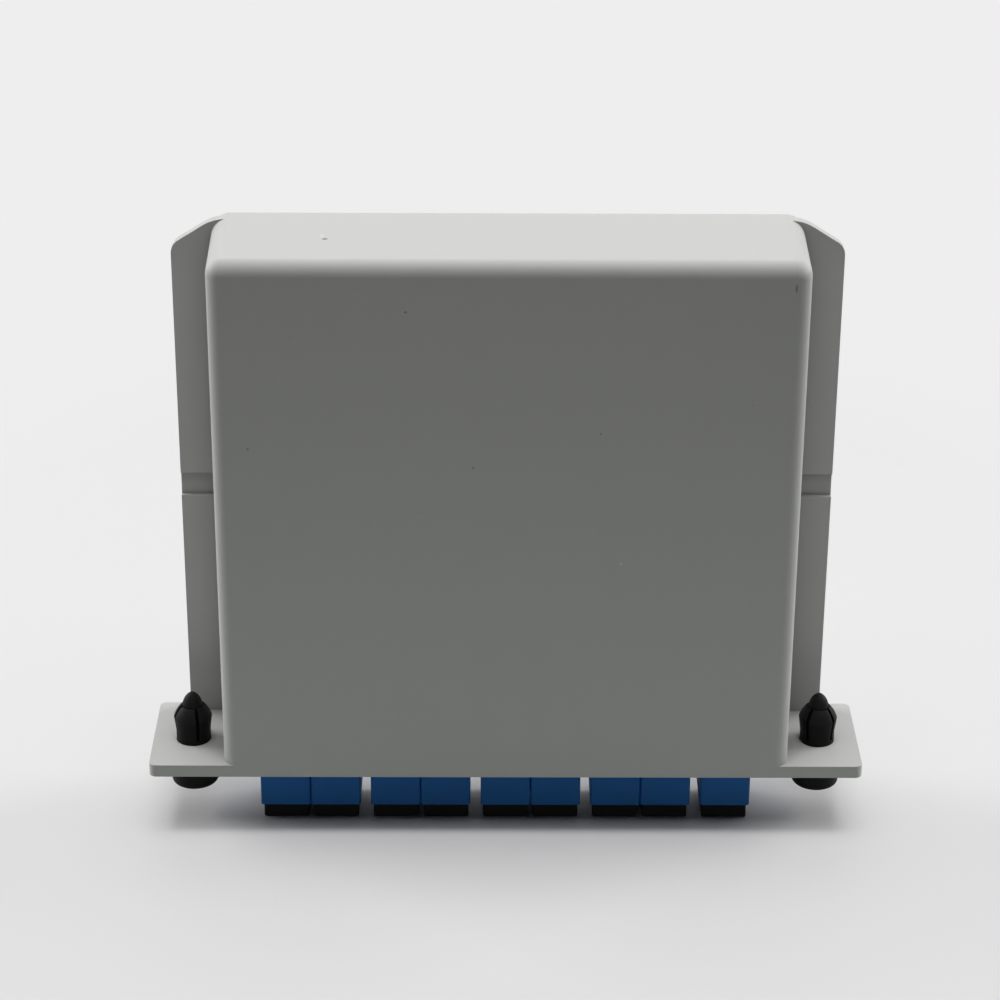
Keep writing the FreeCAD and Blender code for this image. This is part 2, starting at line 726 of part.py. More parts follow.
def build_latch_grommet(side_name, x, turn):
    """Split grommet through the face plate: collar in front, four legs behind."""
    body = new_body(f"latch_grommet_{side_name}")
    profile = new_sketch(body, f"grommet_profile_{side_name}", "XZ_Plane")
    bore = d.pin_radius + d.running_gap
    leg_top = d.plate_thickness + d.latch_leg_height
    add_outline(profile, [
        (bore, -d.latch_collar_thickness),
        (d.latch_collar_radius, -d.latch_collar_thickness),
        (d.latch_collar_radius, 0),
        (d.latch_shank_radius, 0),
        (d.latch_shank_radius, d.plate_thickness + d.latch_grip),
        (d.latch_shoulder_radius, d.plate_thickness + d.latch_shoulder_height),
        (d.latch_leg_tip_radius, leg_top, d.latch_leg_curve),
        (bore, leg_top),
    ])
    revolve(body, f"grommet_turned_{side_name}", profile)
    ring_top = d.plate_thickness + d.latch_ring_height
    reach = d.latch_shoulder_radius * 2
    for name, long, wide in (("across", reach, d.latch_slot_width / 2),
                             ("along", d.latch_slot_width / 2, reach)):
        slot = new_sketch(body, f"slot_{name}_{side_name}", "XY_Plane", ring_top)
        add_rectangle(slot, -long, long, -wide, wide)
        pocket(body, f"slot_{name}_cut_{side_name}", slot, leg_top, reverse=True)
    place(body, x, d.latch_offset, plate_front, turn)
    return body


def build_latch_plunger(side_name, x):
    """Plunger: a knob in front of the grommet and a pin that spreads its legs."""
    body = new_body(f"latch_plunger_{side_name}")
    profile = new_sketch(body, f"plunger_profile_{side_name}", "XZ_Plane")
    knob_top = -d.latch_collar_thickness
    knob_end = knob_top - d.knob_thickness
    tip = d.plate_thickness + d.pin_tip_height
    add_outline(profile, [
        (0, knob_end),
        (d.knob_radius - d.knob_edge_radius, knob_end),
        (d.knob_radius, knob_end + d.knob_edge_radius, d.knob_edge_radius),
        (d.knob_radius, knob_top),
        (d.pin_radius, knob_top),
        (d.pin_radius, d.plate_thickness + d.latch_leg_height),
        (d.pin_tip_flat, tip, d.pin_tip_curve),
        (0, tip),
    ])
    revolve(body, f"plunger_turned_{side_name}", profile)
    place(body, x, d.latch_offset, plate_front)
    return body


def build_module():
    """Splitter module: a steel tube with a moulded end at each side."""
    tube = doc.addObject("Part::Box", "splitter_module")
    ends = []
    for name, left in (("module_input_end", fibres_left), ("module_output_end", module_right)):
        end = doc.addObject("Part::Box", name)
        bind(end, "Length", d.module_end_length)
        place(end, left)
        ends.append(end)
    bind(tube, "Length", d.module_length)
    place(tube, module_left)
    for piece in [tube] + ends:
        piece.Label = piece.Name
        bind(piece, "Width", d.module_width)
        bind(piece, "Height", d.module_thickness)
        place(piece, y=module_seat, z=loop_middle - d.module_thickness / 2)
    return [tube] + ends


def rounded_wire(corners):
    """Straight runs joined by tangent arcs, through corners (point, radius of the arc there)."""
    edges = []
    start = corners[0][0]
    for n in range(1, len(corners) - 1):
        corner, radius = corners[n]
        arriving = (corner - corners[n - 1][0]).normalize()
        leaving = (corners[n + 1][0] - corner).normalize()
        turn = arriving.getAngle(leaving)
        if turn < 1e-6:
            continue
        reach = radius * math.tan(turn / 2)
        arc_start = corner - arriving * reach
        arc_end = corner + leaving * reach
        inward = (leaving - arriving).normalize()
        middle = corner + inward * (radius / math.cos(turn / 2) - radius)
        if (arc_start - start).Length > 1e-6:
            edges.append(Part.makeLine(start, arc_start))
        edges.append(Part.Arc(arc_start, middle, arc_end).toShape())
        start = arc_end
    edges.append(Part.makeLine(start, corners[-1][0]))
    return Part.Wire(edges)


def pigtail_corners(number, x):
    """Corners of one fibre: out of its plug's boot, round the loops and into the module.

    The ports on the left half turn right and make a whole turn; the others turn left. Each fibre has
    a layer in Y and a lane in the loop, so that none crosses another in its own layer.
    """
    pitch = d.fibre_pitch.value
    radius = loop_radius.value
    run = loop_half_run.value
    middle = loop_middle.value
    start = boot_end.value
    right_handed = number <= PAIRS
    is_input = number == 2 * PAIRS
    if right_handed:
        layer = -2 if number % 2 == 0 else -1
        lane = (PAIRS - number) // 2
    elif is_input:
        layer = 2
        lane = 0
    else:
        layer = (number - PAIRS - 1) % 2
        lane = (number - PAIRS - 1) // 2
    y = layer * pitch
    low = middle - radius + lane * pitch
    high = middle + radius - lane * pitch
    outer = radius - lane * pitch
    entry = fibres_right.value
    corners = [
        (FreeCAD.Vector(x.value, 0, start), 0),
        (FreeCAD.Vector(x.value, 0, start + 2 * d.fibre_radius.value), d.riser_radius.value),
        (FreeCAD.Vector(x.value, y, low), d.riser_radius.value),
    ]
    if right_handed:
        lanes = PAIRS // 2 + 1
        inner_low = low + lanes * pitch
        second = (high - inner_low) / 2
        into = middle + (1 - lane) * pitch
        last = (into - inner_low) / 2
        corners += [
            (FreeCAD.Vector(run + outer, y, low), outer),
            (FreeCAD.Vector(run + outer, y, high), outer),
            (FreeCAD.Vector(-run - second, y, high), second),
            (FreeCAD.Vector(-run - second, y, inner_low), second),
            (FreeCAD.Vector(entry + pitch + last, y, inner_low), last),
            (FreeCAD.Vector(entry + pitch + last, y, into), last),
            (FreeCAD.Vector(entry, y, into), 0),
        ]
    elif is_input:
        entry = fibres_left.value
        last = min(entry - pitch + run + radius, (middle - low) / 2)
        corners += [
            (FreeCAD.Vector(entry - pitch - last, y, low), last),
            (FreeCAD.Vector(entry - pitch - last, y, middle), last),
            (FreeCAD.Vector(entry, y, middle), 0),
        ]
    else:
        into = middle + (lane - 0.5) * pitch
        last = (high - into) / 2
        corners += [
            (FreeCAD.Vector(-run - outer, y, low), outer),
            (FreeCAD.Vector(-run - outer, y, high), outer),
            (FreeCAD.Vector(entry + pitch + last, y, high), last),
            (FreeCAD.Vector(entry + pitch + last, y, into), last),
            (FreeCAD.Vector(entry, y, into), 0),
        ]
    return corners


def build_pigtail(number, x):
    """Buffered fibre from a plug to the module, swept along straight runs and tangent arcs."""
    label = f"pigtail_{number + 1}"
    wire = rounded_wire(pigtail_corners(number, x))
    start = wire.Edges[0].Vertexes[0].Point
    circle = Part.Circle(start, FreeCAD.Vector(0, 0, 1), d.fibre_radius.value).toShape()
    solid = wire.makePipeShell([Part.Wire([circle])], True, False)
    expected = math.pi * d.fibre_radius.value ** 2 * wire.Length
    if abs(solid.Volume / expected - 1) > 0.01:
        raise RuntimeError(f"{label}: volume {solid.Volume:.2f}, expected {expected:.2f}")
    print(f"{label}: {wire.Length:.0f} mm long")
    piece = doc.addObject("Part::Feature", label)
    piece.Label = label
    piece.Shape = solid
    piece.Placement = FreeCAD.Placement()
    return piece


def check(parts):
    """Stop if any object of the document failed, or a sub-part has no sound shape."""
    for thing in doc.Objects:
        if "Invalid" in thing.State or "Error" in thing.State:
            raise RuntimeError(f"{thing.Name} failed: {thing.State}")
    for part in parts:
        if part.Shape.isNull() or not part.Shape.isValid() or not part.Shape.Solids:
            raise RuntimeError(f"{part.Label} has no valid solid")


def main():
    numbered = list(enumerate(port_places, start=1))
    parts = [build_housing(), build_cover()]
    screws = [build_cover_screw(n, side, level) for n, (side, level) in enumerate(boss_places, start=1)]
    parts.append(build_group("cover_screws", screws))
    parts += [build_adapter(n, x) for n, x in numbered]
    parts += [build_port_insert(n, x) for n, x in numbered]
    parts.append(build_group("split_sleeves", [build_sleeve(n, x) for n, x in numbered]))
    parts += [build_dust_cap(n, x) for n, x in numbered]
    parts += [build_plug(n, x) for n, x in numbered]
    parts.append(build_group("ferrules", [build_ferrule(n, x) for n, x in numbered]))
    parts.append(build_group("plug_boots", [build_plug_boot(n, x) for n, x in numbered]))
    for name, side, turn in (("left", -1, d.latch_turn_left), ("right", 1, d.latch_turn_right)):
        parts.append(build_latch_grommet(name, latch_x * side, turn))
        parts.append(build_latch_plunger(name, latch_x * side))
    parts += build_module()
    parts += [build_pigtail(n, x) for n, x in enumerate(port_places)]
    doc.recompute()
    check(parts)
    os.makedirs("parts", exist_ok=True)
    for part in parts:
        part.Shape.exportStep(f"parts/{part.Label}.step")
    print(f"{len(parts)} sub-parts written")


main()
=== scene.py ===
"""Dresses the packed fibre splitter cassette: finishes, soft edges, small marks, studio and camera."""
import logging
import math
from dataclasses import dataclass
from enum import Enum
from typing import Sequence

import bpy
from mathutils import Matrix, Vector


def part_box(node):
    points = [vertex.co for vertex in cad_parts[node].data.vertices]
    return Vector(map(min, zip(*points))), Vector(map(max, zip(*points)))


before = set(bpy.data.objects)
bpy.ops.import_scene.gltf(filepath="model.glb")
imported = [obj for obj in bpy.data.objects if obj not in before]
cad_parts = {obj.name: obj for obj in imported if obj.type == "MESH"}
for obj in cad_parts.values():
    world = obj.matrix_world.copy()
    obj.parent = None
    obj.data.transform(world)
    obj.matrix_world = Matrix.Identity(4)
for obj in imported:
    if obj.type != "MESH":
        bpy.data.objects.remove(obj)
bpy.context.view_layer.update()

MM = 0.001
PORTS = 9
LOG = logging.getLogger("cassette")

Colour = tuple[float, float, float]
Spot = tuple[float, float, float]
Tree = bpy.types.NodeTree
Node = bpy.types.Node
Socket = bpy.types.NodeSocket

BLACK: Colour = (0.0, 0.0, 0.0)
ORIGIN: Spot = (0.0, 0.0, 0.0)
ALIKE: Spot = (1.0, 1.0, 1.0)

NOISE_MIDDLE = 0.5
NOISE_DETAIL = 2.0
NOISE_ROUGHNESS = 0.5
GRAIN_DETAIL = 3.0
GRAIN_ROUGHNESS = 0.62
COARSE_GRAIN_DETAIL = 1.0
COARSE_GRAIN_SCALE = 0.21
COARSE_GRAIN_WEIGHT = 0.6
FLOW_LINE_SCALE = 9.0
FLOW_LINE_STRETCH: Spot = (1.0, 1.0, 0.06)
EDGE_SAMPLES = 6
RECESS_SAMPLES = 6
WEAR_GAIN = 6.0
WEAR_REACH = 1.5
WEAR_PATCHES_PER_METRE = 420.0
MARK_CORE = 0.45

NUMBER_RESULTS = ("LENGTH", "DOT_PRODUCT")
MIX_FIRST_COLOUR = 6
MIX_SECOND_COLOUR = 7
MIX_COLOUR_RESULT = 2


class Kind(Enum):
    """Types of socket that the shader groups use."""

    NUMBER = "NodeSocketFloat"
    VECTOR = "NodeSocketVector"


class Side(Enum):
    """Ends of the face plate, as the latches' nodes name them."""

    LEFT = "left"
    RIGHT = "right"


# ---------------------------------------------------------------------------
# shader nodes
# ---------------------------------------------------------------------------


def add_node(tree: Tree, kind: str, **settings: object) -> Node:
    """Add a node to a tree and set its properties.

    Args:
        tree: The node tree.
        kind: The node's type name.
        **settings: Properties of the node.

    Returns:
        The new node.
    """
    node = tree.nodes.new(kind)
    for key, value in settings.items():
        setattr(node, key, value)
    return node


def feed(tree: Tree, socket: Socket, value: object) -> None:
    """Link an output socket to an input, or set the input to a plain value."""
    if isinstance(value, Socket):
        tree.links.new(value, socket)
    else:
        socket.default_value = value


def maths(tree: Tree, operation: str, first: object, second: object = 0.0, third: object = 0.0,
          clamp: bool = False) -> Socket:
    """Add a Math node whose inputs are numbers or sockets.

    Args:
        tree: The node tree.
        operation: The Math node's operation.
        first: A number or an output socket.
        second: A number or an output socket.
        third: What MULTIPLY_ADD adds, a number or an output socket.
        clamp: Whether the result is kept between nought and one.

    Returns:
        The node's output socket.
    """
    node = add_node(tree, "ShaderNodeMath", operation=operation, use_clamp=clamp)
    for socket, value in zip(node.inputs, (first, second, third)):
        feed(tree, socket, value)
    return node.outputs[0]


def vectors(tree: Tree, operation: str, first: object, second: object = ORIGIN) -> Socket:
    """Add a Vector Math node whose two inputs are vectors or sockets.

    Args:
        tree: The node tree.
        operation: The Vector Math node's operation.
        first: A vector or an output socket.
        second: A vector or an output socket.

    Returns:
        The output socket that the operation fills.
    """
    node = add_node(tree, "ShaderNodeVectorMath", operation=operation)
    feed(tree, node.inputs[0], first)
    feed(tree, node.inputs[1], second)
    return node.outputs["Value" if operation in NUMBER_RESULTS else "Vector"]


def noise(tree: Tree, place: Socket, scale: object, detail: float = NOISE_DETAIL,
          roughness: float = NOISE_ROUGHNESS) -> Socket:
    """Add a noise texture.

    Args:
        tree: The node tree.
        place: The coordinates.
        scale: Patches in a metre, a number or an output socket.
        detail: How many finer layers the noise has.
        roughness: How strong the finer layers are.

    Returns:
        The noise's value.
    """
    node = add_node(tree, "ShaderNodeTexNoise")
    tree.links.new(place, node.inputs["Vector"])
    feed(tree, node.inputs["Scale"], scale)
    node.inputs["Detail"].default_value = detail
    node.inputs["Roughness"].default_value = roughness
    return node.outputs["Fac"]


def swing(tree: Tree, value: Socket, amount: float, base: object, clamp: bool = False) -> Socket:
    """Swing a base value up and down, as a noise swings about its middle.

    Args:
        tree: The node tree.
        value: The noise.
        amount: How far the result swings for a noise from nought to one.
        base: The middle of the result, a number or an output socket.
        clamp: Whether the result is kept between nought and one.

    Returns:
        The swinging value.
    """
    return maths(tree, "MULTIPLY_ADD", maths(tree, "SUBTRACT", value, NOISE_MIDDLE), amount, base, clamp)


def smooth_rise(tree: Tree, value: Socket, start: float, end: float, top: float = 1.0) -> Socket:
    """Rise smoothly from nought to a top.

    Args:
        tree: The node tree.
        value: What the rise follows.
        start: The value at which the result is nought.
        end: The value at which the result reaches its top.
        top: The highest result.

    Returns:
        The rising value.
    """
    rise = add_node(tree, "ShaderNodeMapRange", interpolation_type="SMOOTHSTEP")
    rise.inputs["From Min"].default_value = start
    rise.inputs["From Max"].default_value = end
    rise.inputs["To Max"].default_value = top
    tree.links.new(value, rise.inputs["Value"])
    return rise.outputs["Result"]


def soft_normal(tree: Tree, radius: Socket) -> Socket:
    """Normals that turn smoothly over each edge within a radius."""
    rounded = add_node(tree, "ShaderNodeBevel", samples=EDGE_SAMPLES)
    tree.links.new(radius, rounded.inputs["Radius"])
    return rounded.outputs["Normal"]


def opaque(colour: Colour) -> tuple[float, float, float, float]:
    """The colour with full alpha."""
    return (*colour, 1.0)


def mix_colours(tree: Tree, share: Socket, first: object, second: object) -> Socket:
    """Mix two colours, which are RGBA values or sockets, by a share."""
    node = add_node(tree, "ShaderNodeMix", data_type="RGBA")
    tree.links.new(share, node.inputs[0])
    feed(tree, node.inputs[MIX_FIRST_COLOUR], first)
    feed(tree, node.inputs[MIX_SECOND_COLOUR], second)
    return node.outputs[MIX_COLOUR_RESULT]


def mix_shaders(tree: Tree, share: Socket, first: Socket, second: Socket) -> Socket:
    """Mix two shaders by a share."""
    node = add_node(tree, "ShaderNodeMixShader")
    for socket, value in zip(node.inputs, (share, first, second)):
        tree.links.new(value, socket)
    return node.outputs[0]


def use_group(tree: Tree, group: Tree, inputs: dict[str, object]) -> Node:
    """Place a shared group in a material.

    Args:
        tree: The material's node tree.
        group: The shared group.
        inputs: Socket name to a value or an output socket.

    Returns:
        The group's node.
    """
    node = add_node(tree, "ShaderNodeGroup", node_tree=group)
    for label, value in inputs.items():
        feed(tree, node.inputs[label], value)
    return node


# ---------------------------------------------------------------------------
# shader groups
# ---------------------------------------------------------------------------


class NodeGroup:
    """A shader node group with named sockets, built once and shared by the finishes."""

    def __init__(self, name: str, inputs: dict[str, object], outputs: dict[str, Kind]) -> None:
        """Open the group and make its sockets.

        Args:
            name: The group's name.
            inputs: Socket name to default value, a number or a vector.
            outputs: Socket name to socket type.
        """
        self.tree = bpy.data.node_groups.new(name, "ShaderNodeTree")
        for label, default in inputs.items():
            kind = Kind.VECTOR if isinstance(default, tuple) else Kind.NUMBER
            socket = self.tree.interface.new_socket(name=label, in_out="INPUT", socket_type=kind.value)
            socket.default_value = default
        for label, kind in outputs.items():
            self.tree.interface.new_socket(name=label, in_out="OUTPUT", socket_type=kind.value)
        self._entry = self.tree.nodes.new("NodeGroupInput")
        self._exit = self.tree.nodes.new("NodeGroupOutput")

    def given(self, label: str) -> Socket:
        """What the group is given under a name."""
        return self._entry.outputs[label]

    def give(self, label: str, value: Socket) -> None:
        """Hand a value out of the group under a name."""
        self.tree.links.new(value, self._exit.inputs[label])


class SurfaceEffects:
    """The shared groups: fine grain, slow tone drift, soft and worn edges, painted shade in recesses and
    single marks.
    """

    def __init__(self) -> None:
        """Build each group once."""
        self.grain = self._make_grain()
        self.drift = self._make_drift()
        self.soft = self._make_soft_edges()
        self.edges = self._make_worn_edges()
        self.recess = self._make_recess()
        self.mark = self._make_mark()

    @staticmethod
    def _make_grain() -> Tree:
        """Fine relief of a textured mould or of a brush, from Object coordinates."""
        group = NodeGroup(
            "fine_grain",
            {"Position": ORIGIN, "Grains per metre": 4000.0, "Stretch": ALIKE},
            {"Height": Kind.NUMBER, "Tone": Kind.NUMBER},
        )
        tree = group.tree
        scale = group.given("Grains per metre")
        place = vectors(tree, "MULTIPLY", group.given("Position"), group.given("Stretch"))
        fine = noise(tree, place, scale, GRAIN_DETAIL, GRAIN_ROUGHNESS)
        coarse_scale = maths(tree, "MULTIPLY", scale, COARSE_GRAIN_SCALE)
        coarse = noise(tree, place, coarse_scale, COARSE_GRAIN_DETAIL)
        group.give("Height", maths(tree, "MULTIPLY_ADD", coarse, COARSE_GRAIN_WEIGHT, fine))
        group.give("Tone", fine)
        return tree

    @staticmethod
    def _make_drift() -> Tree:
        """Slow change of tone over a moulding, with faint flow lines along Z."""
        group = NodeGroup(
            "tone_drift",
            {"Position": ORIGIN, "Patches per metre": 30.0, "Flow lines": 0.5},
            {"Tone": Kind.NUMBER, "Gloss": Kind.NUMBER},
        )
        tree = group.tree
        place = group.given("Position")
        scale = group.given("Patches per metre")
        share = group.given("Flow lines")
        patches = noise(tree, place, scale)
        drawn_out = vectors(tree, "MULTIPLY", place, FLOW_LINE_STRETCH)
        lines = noise(tree, drawn_out, maths(tree, "MULTIPLY", scale, FLOW_LINE_SCALE))
        both = maths(tree, "ADD", patches, maths(tree, "MULTIPLY", lines, share))
        group.give("Tone", maths(tree, "DIVIDE", both, maths(tree, "ADD", share, 1.0)))
        group.give("Gloss", patches)
        return tree

    @staticmethod
    def _make_soft_edges() -> Tree:
        """Normals that turn smoothly over each sharp edge, as a mould's own small radius does."""
        group = NodeGroup("soft_edges", {"Radius": 0.0002}, {"Normal": Kind.VECTOR})
        group.give("Normal", soft_normal(group.tree, group.given("Radius")))
        return group.tree

    @staticmethod
    def _make_worn_edges() -> Tree:
        """Mask of the outer edges, where handling polishes and lightens a moulding."""
        group = NodeGroup(
            "worn_edges",
            {"Position": ORIGIN, "Reach": 0.0003, "Open": 1.0},
            {"Mask": Kind.NUMBER},
        )
        tree = group.tree
        flat = add_node(tree, "ShaderNodeNewGeometry").outputs["Normal"]
        agree = vectors(tree, "DOT_PRODUCT", soft_normal(tree, group.given("Reach")), flat)
        edge = maths(tree, "MULTIPLY", maths(tree, "SUBTRACT", 1.0, agree), WEAR_GAIN, clamp=True)
        outer = maths(tree, "MULTIPLY", edge, group.given("Open"))
        broken = noise(tree, group.given("Position"), WEAR_PATCHES_PER_METRE)
        group.give("Mask", maths(tree, "MULTIPLY", outer, broken))
        return tree

    @staticmethod
    def _make_recess() -> Tree:
        """Mask of inner corners, which the finishes darken as painted shade, and of the open places beside
        them.
        """
        group = NodeGroup(
            "painted_recess_shade_and_open",
            {"Distance": 0.004},
            {"Recess": Kind.NUMBER, "Open": Kind.NUMBER},
        )
        tree = group.tree
        hollow = add_node(tree, "ShaderNodeAmbientOcclusion", samples=RECESS_SAMPLES, only_local=True)
        tree.links.new(group.given("Distance"), hollow.inputs["Distance"])
        group.give("Recess", maths(tree, "SUBTRACT", 1.0, hollow.outputs["AO"]))
        group.give("Open", hollow.outputs["AO"])
        return tree

    @staticmethod
    def _make_mark() -> Tree:
        """Mask of one small oval mark at a place on the object."""
        group = NodeGroup(
            "small_mark",
            {"Position": ORIGIN, "Centre": ORIGIN, "Reach": (MM, MM, MM)},
            {"Mask": Kind.NUMBER},
        )
        tree = group.tree
        away = vectors(tree, "SUBTRACT", group.given("Position"), group.given("Centre"))
        scaled = vectors(tree, "DIVIDE", away, group.given("Reach"))
        group.give("Mask", smooth_rise(tree, vectors(tree, "LENGTH", scaled), 1.0, MARK_CORE))
        return tree


# ---------------------------------------------------------------------------
# finishes
# ---------------------------------------------------------------------------


@dataclass(frozen=True)
class Mark:
    """A small spot, scratch or nick on a moulding, in millimetres."""

    centre: Spot
    reach: Spot
    tone: float

    def add_to(self, tree: Tree, effects: SurfaceEffects, place: Socket, value: Socket) -> Socket:
        """Lighten or darken the spot.

        Args:
            tree: The material's node tree.
            effects: The shared node groups.
            place: The Object coordinates.
            value: The brightness so far.

        Returns:
            The brightness with the spot.
        """
        spot = use_group(tree, effects.mark, {
            "Position": place,
            "Centre": Vector(self.centre) * MM,
            "Reach": Vector(self.reach) * MM,
        })
        return maths(tree, "MULTIPLY_ADD", spot.outputs["Mask"], self.tone, value)


@dataclass(frozen=True)
class Finish:
    """One finish of the cassette, with the grain and the wear that its surface shows, and painted shade in
    its inner corners.
    """

    name: str
    slot: str
    colour: Colour
    roughness: float
    metallic: float = 0.0
    specular: float = 0.5
    grain_per_mm: float = 5.0
    grain_depth_mm: float = 0.004
    mottle: float = 0.05
    drift: float = 0.06
    patches_per_metre: float = 30.0
    flow_lines: float = 0.5
    edge_wear: float = 0.08
    edge_radius_mm: float = 0.2
    recess_shade: float = 0.12
    recess_reach_mm: float = 4.0
    sheen_shift: float = 0.08
    stretch: Spot = ALIKE
    marks: tuple[Mark, ...] = ()

    def build(self, effects: SurfaceEffects) -> bpy.types.Material:
        """Make the material.

        Args:
            effects: The shared node groups.

        Returns:
            The new material.
        """
        material = bpy.data.materials.new(self.name)
        material.use_nodes = True
        tree = material.node_tree
        shader = tree.nodes["Principled BSDF"]
        shader.inputs["Metallic"].default_value = self.metallic
        shader.inputs["Specular IOR Level"].default_value = self.specular
        place = add_node(tree, "ShaderNodeTexCoord").outputs["Object"]
        grain = use_group(tree, effects.grain, {
            "Position": place,
            "Grains per metre": self.grain_per_mm / MM,
            "Stretch": self.stretch,
        })
        drift = use_group(tree, effects.drift, {
            "Position": place,
            "Patches per metre": self.patches_per_metre,
            "Flow lines": self.flow_lines,
        })
        recess = use_group(tree, effects.recess, {"Distance": self.recess_reach_mm * MM})
        wear = use_group(tree, effects.edges, {
            "Position": place,
            "Reach": WEAR_REACH * self.edge_radius_mm * MM,
            "Open": recess.outputs["Open"],
        })
        value = swing(tree, drift.outputs["Tone"], self.drift, 1.0)
        value = swing(tree, grain.outputs["Tone"], self.mottle, value)
        value = maths(tree, "MULTIPLY_ADD", wear.outputs["Mask"], self.edge_wear, value)
        # Painted shade: inner corners are darkened in the base colour by the finish's recess shade.
        value = maths(tree, "MULTIPLY_ADD", recess.outputs["Recess"], -self.recess_shade, value)
        for mark in self.marks:
            value = mark.add_to(tree, effects, place, value)
        painted = add_node(tree, "ShaderNodeVectorMath", operation="SCALE")
        painted.inputs[0].default_value = self.colour
        tree.links.new(value, painted.inputs["Scale"])
        tree.links.new(painted.outputs[0], shader.inputs["Base Color"])
        gloss = swing(tree, drift.outputs["Gloss"], self.sheen_shift, self.roughness, clamp=True)
        tree.links.new(gloss, shader.inputs["Roughness"])
        soft = use_group(tree, effects.soft, {"Radius": self.edge_radius_mm * MM})
        bump = add_node(tree, "ShaderNodeBump")
        bump.inputs["Strength"].default_value = 1.0
        bump.inputs["Distance"].default_value = self.grain_depth_mm * MM
        tree.links.new(grain.outputs["Height"], bump.inputs["Height"])
        tree.links.new(soft.outputs["Normal"], bump.inputs["Normal"])
        tree.links.new(bump.outputs["Normal"], shader.inputs["Normal"])
        return material


NEAR_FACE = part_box("housing")[0].y / MM
END_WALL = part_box("housing")[1].z / MM
SPECK = (0.3, 0.4, 0.3)
SHELL_MARKS = (
    # The first mark is a painted shade for the hollow of a nick in the end wall; the second is a slightly
    # lighter spot beside it.
    Mark((-31.5, -0.5, END_WALL), (0.7, 0.5, 1.0), -0.75),
    Mark((-32.0, 1.0, END_WALL), (0.5, 1.0, 1.0), 0.12),
    Mark((-17.5, NEAR_FACE, 103.5), SPECK, -0.5),
    Mark((-6.0, NEAR_FACE, 74.5), SPECK, -0.4),
    Mark((16.0, NEAR_FACE, 81.0), SPECK, -0.35),
    Mark((20.0, NEAR_FACE, 56.0), SPECK, 0.3),
    Mark((48.5, NEAR_FACE, 108.0), (0.25, 0.5, 1.0), -0.5),
    Mark((-45.0, NEAR_FACE, 78.0), SPECK, -0.4),
    Mark((42.0, NEAR_FACE, 86.5), (0.4, 0.4, 0.2), -0.12),
    Mark((-15.5, NEAR_FACE, 66.0), (1.0, 0.4, 0.2), -0.08),
    Mark((-39.0, NEAR_FACE, 91.5), SPECK, 0.12),
    Mark((-36.5, NEAR_FACE, 98.0), SPECK, 0.1),
)
# The shell paints strong shade into its inner corners, such as the flange feet and the plate round the
# latches.
SHELL = Finish("shell_satin_grey", "shell_plastic", (0.516, 0.516, 0.507), 0.50, specular=0.22,
               grain_per_mm=6.0, grain_depth_mm=0.002, mottle=0.012, drift=0.03, flow_lines=0.8,
               edge_wear=0.05, recess_shade=0.50, recess_reach_mm=7.0, marks=SHELL_MARKS)
ADAPTER = Finish("adapter_blue", "adapter_plastic", (0.018, 0.142, 0.455), 0.50, specular=0.15,
                 patches_per_metre=90.0, edge_wear=0.25)
INSERT = Finish("insert_white", "insert_plastic", (0.70, 0.70, 0.68), 0.5)
CERAMIC = Finish("ceramic_ivory", "ceramic", (0.80, 0.79, 0.75), 0.14, grain_depth_mm=0.0005)
CAP = Finish("cap_black", "cap_plastic", (0.0085, 0.0085, 0.0090), 0.60, specular=0.10, edge_wear=0.5,
             patches_per_metre=90.0)
PLUG = Finish("plug_blue", "plug_plastic", (0.020, 0.080, 0.280), 0.4)
BOOT = Finish("boot_white", "boot_rubber", (0.70, 0.70, 0.69), 0.68)
LATCH = Finish("latch_black", "latch_nylon", (0.0065, 0.0065, 0.0065), 0.52, specular=0.09, edge_wear=0.8,
               grain_per_mm=3.0, grain_depth_mm=0.006, patches_per_metre=120.0)
STEEL = Finish("screw_zinc", "screw_steel", (0.58, 0.58, 0.60), 0.34, metallic=1.0,
               grain_depth_mm=0.001)
TUBE = Finish("tube_steel", "module_steel", (0.60, 0.61, 0.62), 0.3, metallic=1.0,
              grain_depth_mm=0.001, stretch=(0.05, 1.0, 1.0))
TUBE_END = Finish("tube_end_black", "module_end_plastic", (0.03, 0.03, 0.03), 0.45)
FIBRE = Finish("fibre_white", "fibre_buffer", (0.76, 0.76, 0.72), 0.42, grain_depth_mm=0.001)


class Paintbox:
    """Holds one material for each finish."""

    def __init__(self) -> None:
        """Start with the shared groups and no material."""
        self.effects = SurfaceEffects()
        self.made: dict[str, bpy.types.Material] = {}

    def material(self, finish: Finish) -> bpy.types.Material:
        """The material of a finish, made on its first use."""
        if finish.name not in self.made:
            self.made[finish.name] = finish.build(self.effects)
        return self.made[finish.name]

    def coat_node(self, node: str, finish: Finish) -> None:
        """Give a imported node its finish."""
        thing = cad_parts[node]
        thing.data.materials.clear()
        thing.data.materials.append(self.material(finish))
        LOG.info("node %s: %s", node, finish.name)


# ---------------------------------------------------------------------------
# sub-assemblies
# ---------------------------------------------------------------------------


@dataclass
class Shell:
    """Housing, cover and its screws."""

    paint: Paintbox

    def build(self) -> None:
        """Dress the mouldings and the screws."""
        self.paint.coat_node("housing", SHELL)
        self.paint.coat_node("cover", SHELL)
        self.paint.coat_node("cover_screws", STEEL)


@dataclass
class PortRow:
    """Adapters with their caps, inserts, sleeves and the plugs behind them."""

    paint: Paintbox

    def build(self) -> None:
        """Dress the row of ports."""
        for n in range(1, PORTS + 1):
            self.paint.coat_node(f"adapter_{n}", ADAPTER)
            self.paint.coat_node(f"port_insert_{n}", INSERT)
            self.paint.coat_node(f"dust_cap_{n}", CAP)
            self.paint.coat_node(f"plug_{n}", PLUG)
        self.paint.coat_node("split_sleeves", CERAMIC)
        self.paint.coat_node("ferrules", CERAMIC)
        self.paint.coat_node("plug_boots", BOOT)


